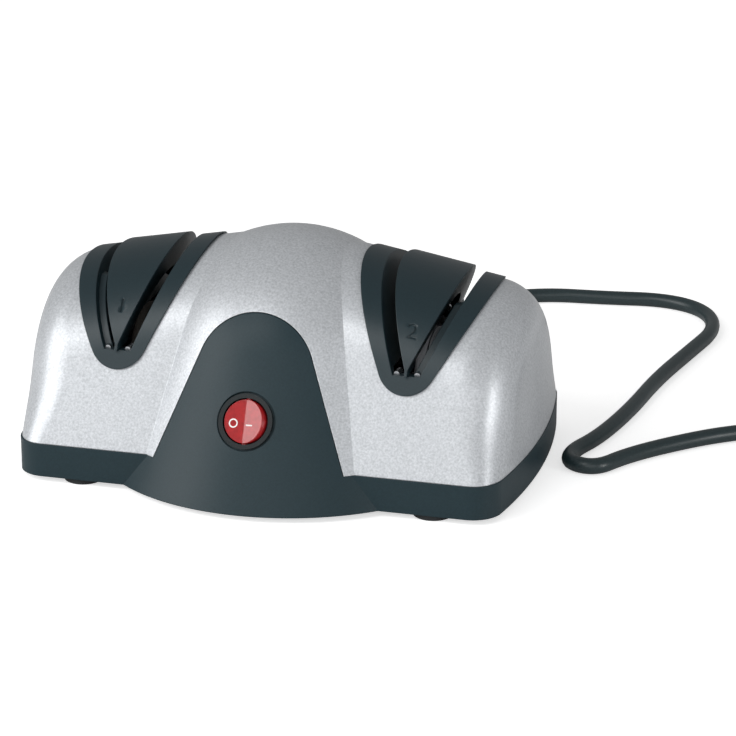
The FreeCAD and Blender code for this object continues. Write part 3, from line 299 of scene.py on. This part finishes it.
class SHARPENER_OT_casing(bpy.types.Operator):
    """Gives the two halves of the casing and the feet their finishes"""
    bl_idname = "sharpener.casing"
    bl_label = "Casing"

    def execute(self, context):
        settings = context.scene.sharpener_casing
        # ABS with aluminium flake in it, moulded: a metallic satin that sparkles finely
        silver = moulded(
            "silver_flake_abs_moulded", settings.silver, settings.silver_pale, grain_mm=0.9,
            relief_mm=0.01, roughness=0.42, spread=0.03, edge=settings.edge_radius,
            Metallic=0.4, **{"Coat Weight": 0.4, "Coat Roughness": 0.2})
        # black ABS from a finely eroded tool: satin, with a grey sheen where light grazes
        black = moulded(
            "black_abs_satin_moulded", settings.black, "#1c3239", grain_mm=0.7,
            relief_mm=0.012, roughness=0.44, spread=0.03, edge=settings.edge_radius, IOR=1.5,
            **{"Specular IOR Level": 0.35})
        # soft moulded rubber: dull, with a slight bloom
        rubber = moulded("rubber_moulded_matt", "#15181a", "#202426", grain_mm=0.5,
                         relief_mm=0.02, roughness=0.75, spread=0.05, IOR=1.52)
        paint_node("top_housing", silver)
        paint_node("lower_housing", black)
        for place in ("front_left", "front_right", "rear_left", "rear_right"):
            paint_node(f"{place}_foot", rubber)
        return {"FINISHED"}


# The knife guides

DIGIT_SHARE = 0.69  # height of a digit, as a share of the size of its font
DIGIT_RAY = 50 * MM  # how far ahead of a guide block the place of its number is sought


class SHARPENER_OT_knife_guides(bpy.types.Operator):
    """Finishes the V guides and sinks the stage numbers into their blocks"""
    bl_idname = "sharpener.knife_guides"
    bl_label = "Knife guides"

    def execute(self, context):
        settings = context.scene.sharpener_guides
        edge = context.scene.sharpener_casing.edge_radius
        # black ABS from a finer tool than the casing's: a little darker and glossier
        black = moulded("black_abs_fine_moulded", settings.black, "#1c3036", grain_mm=0.5,
                        relief_mm=0.008, roughness=0.38, spread=0.03, edge=edge, IOR=1.5)
        steel = bright_steel()
        for stage, digit in (("coarse", "1"), ("fine", "2")):
            paint_node(f"{stage}_guide_frame", black)
            paint_node(f"{stage}_rest_pins", steel)
            block = f"{stage}_guide_block"
            carved = welded_copy(block, f"{stage}_numbered_block")
            engrave(carved, block, digit, settings)
            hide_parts(block)
            finish_piece(carved, body_of(block), black)
        return {"FINISHED"}


def engrave(piece, node, text, settings):
    """Cuts a number into the front slope of a guide block."""
    low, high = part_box(node)
    ahead = Vector(((low[0] + high[0]) / 2, low[1] - DIGIT_RAY, settings.digit_level))
    spot, normal = surface_spot(surface_of(node), ahead, TO_BACK)
    font = bpy.data.curves.new(f"digit_{text}", "FONT")
    font.body = text
    font.size = settings.digit_height / DIGIT_SHARE
    font.align_x = "CENTER"
    font.align_y = "CENTER"
    font.extrude = settings.digit_depth * 2
    holder = new_piece(f"digit_{text}_tool", font)
    mesh = bpy.data.meshes.new_from_object(holder)
    mesh.transform(upright_frame(spot + normal * settings.digit_depth, normal))
    bpy.data.objects.remove(holder)
    mend(mesh, weld_distance=1e-7)
    tool = new_piece(f"digit_{text}_cutter", mesh)
    sink = piece.modifiers.new("digit", "BOOLEAN")
    sink.operation = "DIFFERENCE"
    sink.solver = "EXACT"
    sink.object = tool
    settle(piece)
    piece.data.set_sharp_from_angle(angle=SHARP_ANGLE)
    even = piece.modifiers.new("even_shading", "WEIGHTED_NORMAL")
    even.keep_sharp = True
    settle(piece)
    bpy.data.objects.remove(tool)


# The switch

OFF_MARK_ACROSS = -5.1 * MM
ON_MARK_ACROSS = 1.9 * MM  # clear of the valley between the rocker's two faces
DASH_SHARE = 0.4  # half the dash's length, as a share of the size of the marks
MARK_RAY = 20 * MM  # how far ahead of the rocker the place of a mark is sought
MARK_DROP = 3 * MM  # how far above the rocker each point of a mark is dropped from
INK_LIFT = 0.03 * MM
INK_THICKNESS = 0.05 * MM


class SHARPENER_OT_switch(bpy.types.Operator):
    """Finishes the rocker switch and prints its two marks"""
    bl_idname = "sharpener.switch"
    bl_label = "Switch"

    def execute(self, context):
        settings = context.scene.sharpener_switch
        # nylon switch body: smooth, darker and shinier than the panel round it
        nylon = moulded("black_nylon_switch", "#11181a", "#182023", grain_mm=0.4,
                        relief_mm=0.004, roughness=0.25, spread=0.03, IOR=1.53)
        # polished red polycarbonate, in which light spreads a little under the surface
        rocker = moulded(
            "red_polycarbonate_polished", settings.rocker, "#b92226", grain_mm=2.0,
            relief_mm=0.003, roughness=0.2, spread=0.02, edge=0.4 * MM, IOR=1.58,
            **{"Subsurface Weight": 0.25, "Subsurface Scale": 3 * MM, "Coat Weight": 0.1})
        # white pad-printed ink
        ink = moulded("white_print_ink", settings.mark, "#ffffff", grain_mm=0.5,
                      relief_mm=0.002, roughness=0.5, spread=0.03, IOR=1.5)
        paint_node("switch_body", nylon)
        paint_node("switch_terminals", brass())
        paint_node("rocker_button", rocker)
        low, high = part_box("rocker_button")
        level = (low[2] + high[2]) / 2
        radius = settings.mark_size / 2
        ring = ring_outline(radius, radius - settings.mark_stroke)
        dash = dash_outline(settings.mark_size * DASH_SHARE, settings.mark_stroke / 2)
        for name, outline, across in (
                ("off_mark", ring, OFF_MARK_ACROSS), ("on_mark", dash, ON_MARK_ACROSS)):
            mark = printed_mark(name, outline, Vector((across, low[1] - MARK_RAY, level)))
            finish_piece(mark, "rocker", ink)
        return {"FINISHED"}


def join_rows(edit, pairs):
    """A quad between each row of two vertices and the next."""
    for here, ahead in pairs:
        edit.faces.new((here[0], ahead[0], ahead[1], here[1]))


def ring_outline(outer, inner, count=48):
    """Quads of a flat ring."""
    edit = bmesh.new()
    rows = [[edit.verts.new((r * math.cos(a), r * math.sin(a), 0)) for r in (outer, inner)]
            for a in (2 * math.pi * i / count for i in range(count))]
    join_rows(edit, zip(rows, rows[1:] + rows[:1]))
    return edit


def dash_outline(half_length, half_height, count=8):
    """Quads of a flat dash."""
    edit = bmesh.new()
    rows = [[edit.verts.new((x, y, 0)) for y in (-half_height, half_height)]
            for x in (-half_length + 2 * half_length * i / count for i in range(count + 1))]
    join_rows(edit, zip(rows, rows[1:]))
    return edit


def printed_mark(name, edit, ahead):
    """Lays a flat outline on the rocker, with a thin thickness of ink."""
    surface = surface_of("rocker_button")
    centre, normal = surface_spot(surface, ahead, TO_BACK)
    place = upright_frame(centre, normal)
    for vertex in edit.verts:
        above = place @ (vertex.co + Vector((0, 0, MARK_DROP)))
        spot, _, _, _ = surface.ray_cast(above, -normal)
        vertex.co = (spot or place @ vertex.co) + normal * (INK_LIFT + INK_THICKNESS)
    mesh = bpy.data.meshes.new(name)
    edit.to_mesh(mesh)
    edit.free()
    mark = new_piece(name, mesh)
    solid = mark.modifiers.new("ink", "SOLIDIFY")
    solid.thickness = INK_THICKNESS
    solid.offset = -1
    settle(mark)
    mend(mark.data)
    return mark


# The drive inside


class SHARPENER_OT_drive(bpy.types.Operator):
    """Finishes the motor, the spindle and the abrasive discs"""
    bl_idname = "sharpener.drive"
    bl_label = "Drive"

    def execute(self, context):
        finishes = {
            "bright_steel": bright_steel(),
            "brass": brass(),
            # zinc-plated pressed steel: pale grey with a bluish mottle
            "zinc": moulded("zinc_plated_steel", "#9aa0a4", "#b1b6b8", grain_mm=1.2,
                            relief_mm=0.004, roughness=0.38, spread=0.06, Metallic=1.0),
            # stacked electrical steel, blued in annealing
            "lamination": moulded("blued_lamination_steel", "#3d4146", "#4b4f55", grain_mm=0.5,
                                  relief_mm=0.02, roughness=0.45, spread=0.05, Metallic=1.0),
            # enamelled copper wire, varnished
            "copper_winding": moulded(
                "enamelled_copper_wire", "#7c3a1c", "#9c5228", grain_mm=0.4, relief_mm=0.05,
                roughness=0.3, spread=0.05, Metallic=0.8),
            # natural nylon, slightly yellowed
            "white_plastic": moulded("natural_nylon", "#cfcdbf", "#dbd9cc", grain_mm=1.0,
                                     relief_mm=0.005, roughness=0.4, spread=0.04, IOR=1.53),
            # vitrified abrasive, its grit drawn at about twice the real size
            "coarse_abrasive": moulded("abrasive_coarse_grit", "#2f2c2a", "#57524c",
                                       grain_mm=0.5, relief_mm=0.12, roughness=0.85,
                                       spread=0.05),
            "fine_abrasive": moulded("abrasive_fine_grit", "#82858a", "#a9acb0", grain_mm=0.25,
                                     relief_mm=0.05, roughness=0.75, spread=0.05),
        }
        for row in frame["record"]["subparts"]:
            if row["material_slot"] in finishes and not row["node"].endswith("rest_pins"):
                paint_node(row["node"], finishes[row["material_slot"]])
        return {"FINISHED"}


# The mains lead

EXIT_LEVEL = 0.0114  # height of the lead's centre line where it leaves the casing
TABLE_LEVEL = 0.00345  # the same where the lead lies on the table
# points of the free lead, as in the part's source
LEAD_ROUTE = [
    (0.030, 0.06974, EXIT_LEVEL),
    (0.030, 0.11574, EXIT_LEVEL),
    (0.028, 0.16374, TABLE_LEVEL),
    (0.026, 0.198, TABLE_LEVEL),
    (0.038, 0.226, TABLE_LEVEL),
    (0.062, 0.240, TABLE_LEVEL),
    (0.090, 0.242, TABLE_LEVEL),
    (0.121, 0.247, TABLE_LEVEL),
    (0.143, 0.235, TABLE_LEVEL),
    (0.152, 0.208, TABLE_LEVEL),
    (0.145, 0.172, TABLE_LEVEL),
    (0.137, 0.130, TABLE_LEVEL),
    (0.133, 0.088, TABLE_LEVEL),
    (0.126, 0.050, TABLE_LEVEL),
    (0.1178, 0.0295, TABLE_LEVEL),
    (0.1195, 0.0165, TABLE_LEVEL),
    (0.1323, 0.0135, TABLE_LEVEL),
    (0.141, 0.030, TABLE_LEVEL),
    (0.156, 0.048, TABLE_LEVEL),
    (0.177, 0.068, TABLE_LEVEL),
    (0.202, 0.082, TABLE_LEVEL),
    (0.228, 0.087, TABLE_LEVEL),
]

COIL_RADIUS = 44 * MM  # of its widest half turn
COIL_GAP = 0.7 * MM  # between neighbouring turns, and between the two layers
COIL_HALF_TURNS = 4  # on the way in, in the lower layer
POINTS_PER_HALF = 8
COIL_TAIL = (10 * MM, 32 * MM)  # points of the straight end, from the last half turn

RING_SETBACK = 15 * MM  # of the first ring, from the outer end of the strain relief
RING_STEP = 2.2 * MM
RING_RADIUS = 4.7 * MM  # of a ring's centre line
RING_THICKNESS = 0.45 * MM  # radius of a ring's section
RIB_WIDTH = 1.4 * MM
RIB_LENGTH = 12 * MM
RIB_STEP = 2.6 * MM
RIB_SETBACK = 4 * MM  # of the first rib, from the middle of the plug
RIB_SINK = 0.3 * MM  # of a rib's axis, below the top of the plug


def route_end():
    """The last point of the free lead, and the direction in which it ends."""
    before, last = (Vector(point) for point in LEAD_ROUTE[-2:])
    return last, (last - before).normalized()


def coil_points(start, heading, diameter):
    """Control points of the put-away coil: in by half turns, up one layer, and out again."""
    pitch = diameter + COIL_GAP
    lower = [COIL_RADIUS - pitch / 2 * step for step in range(COIL_HALF_TURNS)]
    rounds = [(r, 0) for r in lower] + [(lower[-1] - pitch / 2, pitch)]
    rounds += [(r, 0) for r in reversed(lower[1:])]
    side = Vector((-heading.y, heading.x, 0))
    # control points stand outside the arc that the curve draws
    reach = 1 / math.cos(math.pi / POINTS_PER_HALF / 2)
    spot, direction = start, 1
    points = []
    for radius, rise in rounds:
        centre = spot + side * direction * radius
        for i in range(POINTS_PER_HALF):
            share = (i + 0.5) / POINTS_PER_HALF
            angle = math.pi * share
            spoke = side * -math.cos(angle) + heading * math.sin(angle)
            points.append(centre + spoke * direction * radius * reach
                          + Vector((0, 0, rise * share)))
        spot = spot + side * direction * 2 * radius + Vector((0, 0, rise))
        direction = -direction
    return points + [spot + heading * direction * run for run in COIL_TAIL]


class SHARPENER_OT_mains_lead(bpy.types.Operator):
    """Lays the mains lead and its coil, and details the strain relief and the plug"""
    bl_idname = "sharpener.mains_lead"
    bl_label = "Mains lead"

    def execute(self, context):
        settings = context.scene.sharpener_lead
        # extruded PVC: satin, with fine grain
        pvc = moulded("black_pvc_extruded", settings.black, "#2a3a3d", grain_mm=0.8,
                      relief_mm=0.01, roughness=0.36, spread=0.04, IOR=1.53)
        for node in ("strain_relief", "plug_body"):
            paint_node(node, pvc)
        paint_node("plug_pins", brass())

        end, heading = route_end()
        coil = coil_points(end + heading * settings.diameter, heading, settings.diameter)
        points = [Vector(point) for point in LEAD_ROUTE] + coil
        curve = bpy.data.curves.new("mains_lead_line", "CURVE")
        curve.dimensions = "3D"
        curve.bevel_depth = settings.diameter / 2
        curve.bevel_resolution = 6
        curve.resolution_u = 8
        curve.use_fill_caps = True
        spline = curve.splines.new("NURBS")
        spline.points.add(len(points) - 1)
        for place, point in zip(spline.points, points):
            place.co = (*point, 1.0)
        spline.order_u = 3
        spline.use_endpoint_u = True
        lead = new_piece("mains_lead_and_coil", curve)
        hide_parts("mains_lead", "cord_coil")
        finish_piece(lead, "casing", pvc)

        rings = ringed_relief(settings, pvc)
        ribs = plug_grip(settings, pvc)
        return {"FINISHED"}


def repeat_tree(name, build_form):
    """A node group that repeats one form along a line, ending in one real mesh."""
    tree = bpy.data.node_groups.new(name, "GeometryNodeTree")
    face = tree.interface
    face.new_socket("Geometry", in_out="OUTPUT", socket_type="NodeSocketGeometry")
    for label, kind in (("Count", "NodeSocketInt"), ("Start", "NodeSocketVector"),
                        ("Step", "NodeSocketVector"), ("Material", "NodeSocketMaterial")):
        face.new_socket(label, in_out="INPUT", socket_type=kind)
    given = add_node(tree, "NodeGroupInput").outputs
    line = add_node(tree, "GeometryNodeMeshLine", {
        "Count": given["Count"], "Start Location": given["Start"], "Offset": given["Step"]})
    form = build_form(tree)
    copies = add_node(tree, "GeometryNodeInstanceOnPoints", {
        "Points": line.outputs["Mesh"], "Instance": form})
    real = add_node(tree, "GeometryNodeRealizeInstances", {
        "Geometry": copies.outputs["Instances"]})
    painted = add_node(tree, "GeometryNodeSetMaterial", {
        "Geometry": real.outputs["Geometry"], "Material": given["Material"]})
    add_node(tree, "NodeGroupOutput", {"Geometry": painted.outputs["Geometry"]})
    return tree


def grow(name, tree, values):
    """Runs a repeating tree and returns its result as a plain piece."""
    piece = new_piece(name, bpy.data.meshes.new(name))
    modifier = piece.modifiers.new("repeat", "NODES")
    modifier.node_group = tree
    for item in tree.interface.items_tree:
        if item.in_out == "INPUT" and item.name in values:
            modifier[item.identifier] = values[item.name]
    settle(piece)
    return piece


def rounded_ring(major, minor):
    """A maker of a torus about Y for the strain relief."""
    def build(tree):
        path = add_node(tree, "GeometryNodeCurvePrimitiveCircle", {
            "Radius": major, "Resolution": 40})
        turned = add_node(tree, "GeometryNodeTransform", {
            "Geometry": path.outputs["Curve"], "Rotation": (math.pi / 2, 0, 0)})
        profile = add_node(tree, "GeometryNodeCurvePrimitiveCircle", {
            "Radius": minor, "Resolution": 10})
        swept = add_node(tree, "GeometryNodeCurveToMesh", {
            "Curve": turned.outputs["Geometry"], "Profile Curve": profile.outputs["Curve"]})
        return swept.outputs["Mesh"]
    return build


def grip_bar(width, height):
    """A maker of a slim round rib along Z for the plug."""
    def build(tree):
        path = add_node(tree, "GeometryNodeCurvePrimitiveLine", {
            "Start": (0, 0, -height / 2), "End": (0, 0, height / 2)})
        profile = add_node(tree, "GeometryNodeCurvePrimitiveCircle", {
            "Radius": width / 2, "Resolution": 12})
        swept = add_node(tree, "GeometryNodeCurveToMesh", {
            "Curve": path.outputs["Curve"], "Profile Curve": profile.outputs["Curve"],
            "Fill Caps": True})
        return swept.outputs["Mesh"]
    return build


def ringed_relief(settings, material):
    """Rings of one size along the strain relief, whose taper is wider than most of them."""
    low, high = (Vector(corner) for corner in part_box("strain_relief"))
    first = Vector(((low.x + high.x) / 2, high.y - RING_SETBACK, EXIT_LEVEL))
    tree = repeat_tree("relief_rings", rounded_ring(RING_RADIUS, RING_THICKNESS))
    rings = grow("strain_relief_rings", tree, {
        "Count": settings.relief_rings, "Start": first, "Step": (0, RING_STEP, 0),
        "Material": material})
    finish_piece(rings, "casing", material)
    return rings


def plug_grip(settings, material):
    """Grip ribs across the top of the plug."""
    low, high = (Vector(corner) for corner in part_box("plug_body"))
    middle = (low + high) / 2
    _, heading = route_end()
    start = Vector((middle.x, middle.y, high.z - RIB_SINK)) - heading * RIB_SETBACK
    tree = repeat_tree("plug_ribs", grip_bar(RIB_WIDTH, RIB_LENGTH))
    ribs = grow("plug_grip_ribs", tree, {
        "Count": settings.plug_ribs, "Start": (0, 0, 0), "Step": (RIB_STEP, 0, 0),
        "Material": material})
    along_lead = Matrix.Rotation(math.atan2(heading.y, heading.x), 4, "Z")
    lay_flat = Matrix.Rotation(math.pi / 2, 4, "X")
    ribs.data.transform(Matrix.Translation(start) @ along_lead @ lay_flat)
    finish_piece(ribs, "casing", material)
    return ribs


# The studio

CAMERA_SPOT = Vector((0.3519, -1.1527, 0.4665))
CAMERA_TARGET = Vector((0.0337, 0.00715, 0.04127))
SENSOR_WIDTH = 36.0
LIT_POINT = Vector((0.0, 0.0, 0.05))
FRONT_SHARE = 0.3  # of the front softbox in the key power
STRIP_SHARE = 1.2  # of the right strip in the top power
FLOOR_REACH = 3.0
FLOOR_GLOW = 0.6
WHITE = "#ffffff"


def place_facing(name, data, spot, target):
    """Puts a lamp or a camera at a spot and turns it to a target."""
    holder = new_piece(name, data)
    holder.location = spot
    holder.rotation_euler = (target - spot).to_track_quat("-Z", "Y").to_euler()
    return holder


def area_light(name, spot, size, power):
    """A rectangular lamp turned to the object."""
    lamp = bpy.data.lights.new(name, "AREA")
    lamp.shape = "RECTANGLE"
    lamp.size, lamp.size_y = size
    lamp.energy = power
    place_facing(name, lamp, Vector(spot), LIT_POINT)


def camera_sees(tree, shader, otherwise):
    """One shader for the camera's own rays, and another for all other rays."""
    ray = add_node(tree, "ShaderNodeLightPath").outputs["Is Camera Ray"]
    mix = add_node(tree, "ShaderNodeMixShader", {"Fac": ray, 1: otherwise, 2: shader})
    return mix.outputs["Shader"]


def white_surround(strength):
    """A world that lights softly, and is plain white where the camera looks past the object."""
    world = bpy.data.worlds.new("white_surround")
    world.use_nodes = True
    tree = world.node_tree
    tree.nodes.clear()
    soft, white = (
        add_node(tree, "ShaderNodeBackground", {"Color": linear(WHITE), "Strength": power})
        for power in (strength, 1.0))
    seen = camera_sees(tree, white.outputs["Background"], otherwise=soft.outputs["Background"])
    add_node(tree, "ShaderNodeOutputWorld", {"Surface": seen})
    return world


def white_paper():
    """Matt white paper that glows for the camera alone, so that only a shadow darkens it."""
    paper = moulded("white_paper_sweep", "#f4f4f4", "#fbfbfb", grain_mm=1.0, relief_mm=0.0,
                    roughness=0.9, spread=0.02)
    tree = paper.node_tree
    plain = node_of(tree, "BSDF_PRINCIPLED").outputs["BSDF"]
    glow = add_node(tree, "ShaderNodeEmission", {
        "Color": linear(WHITE), "Strength": FLOOR_GLOW})
    both = add_node(tree, "ShaderNodeAddShader", {0: plain, 1: glow.outputs["Emission"]})
    seen = camera_sees(tree, both.outputs["Shader"], otherwise=plain)
    tree.links.new(seen, node_of(tree, "OUTPUT_MATERIAL").inputs["Surface"])
    return paper


class SHARPENER_OT_studio(bpy.types.Operator):
    """Sets up the floor, the surround, the lights and the camera"""
    bl_idname = "sharpener.studio"
    bl_label = "Studio"

    def execute(self, context):
        settings = context.scene.sharpener_studio
        scene = context.scene
        scene.view_settings.view_transform = "Standard"
        scene.world = white_surround(settings.world)

        edit = bmesh.new()
        bmesh.ops.create_grid(edit, x_segments=1, y_segments=1, size=FLOOR_REACH)
        mesh = bpy.data.meshes.new("floor")
        edit.to_mesh(mesh)
        edit.free()
        floor = new_piece("floor", mesh)
        paint(floor, white_paper())

        key, top = settings.key_power, settings.top_power
        area_light("left_softbox", (-1.9, -1.3, 1.0), (1.8, 1.6), key)
        area_light("front_softbox", (0.5, -2.3, 0.9), (2.2, 1.2), key * FRONT_SHARE)
        area_light("top_softbox", (-0.4, -1.0, 1.2), (0.6, 0.45), top)
        area_light("right_strip", (1.4, -0.5, 0.25), (0.3, 0.6), top * STRIP_SHARE)

        lens = bpy.data.cameras.new("camera")
        lens.lens = settings.lens
        lens.sensor_width = SENSOR_WIDTH
        lens.sensor_fit = "HORIZONTAL"
        scene.camera = place_facing("camera", lens, CAMERA_SPOT, CAMERA_TARGET)
        return {"FINISHED"}


# The panel and registration

SECTIONS = (
    ("sharpener_casing", CasingSettings, SHARPENER_OT_casing),
    ("sharpener_guides", GuideSettings, SHARPENER_OT_knife_guides),
    ("sharpener_switch", SwitchSettings, SHARPENER_OT_switch),
    (None, None, SHARPENER_OT_drive),
    ("sharpener_lead", LeadSettings, SHARPENER_OT_mains_lead),
    ("sharpener_studio", StudioSettings, SHARPENER_OT_studio),
)


class SHARPENER_PT_panel(bpy.types.Panel):
    bl_label = "Knife sharpener"
    bl_space_type = "VIEW_3D"
    bl_region_type = "UI"
    bl_category = "Sharpener"

    def draw(self, context):
        for holder, group, operator in SECTIONS:
            column = self.layout.box().column()
            column.operator(operator.bl_idname)
            if group:
                for name in group.__annotations__:
                    column.prop(getattr(context.scene, holder), name)


def register():
    for holder, group, operator in SECTIONS:
        if group:
            bpy.utils.register_class(group)
            setattr(bpy.types.Scene, holder, bpy.props.PointerProperty(type=group))
        bpy.utils.register_class(operator)
    bpy.utils.register_class(SHARPENER_PT_panel)


def unregister():
    bpy.utils.unregister_class(SHARPENER_PT_panel)
    for holder, group, operator in reversed(SECTIONS):
        bpy.utils.unregister_class(operator)
        if group:
            delattr(bpy.types.Scene, holder)
            bpy.utils.unregister_class(group)


def main():
    register()
    bpy.ops.sharpener.casing()
    bpy.ops.sharpener.knife_guides()
    bpy.ops.sharpener.switch()
    bpy.ops.sharpener.drive()
    bpy.ops.sharpener.mains_lead()
    bpy.ops.sharpener.studio()


if __name__ == "__main__":
    main()
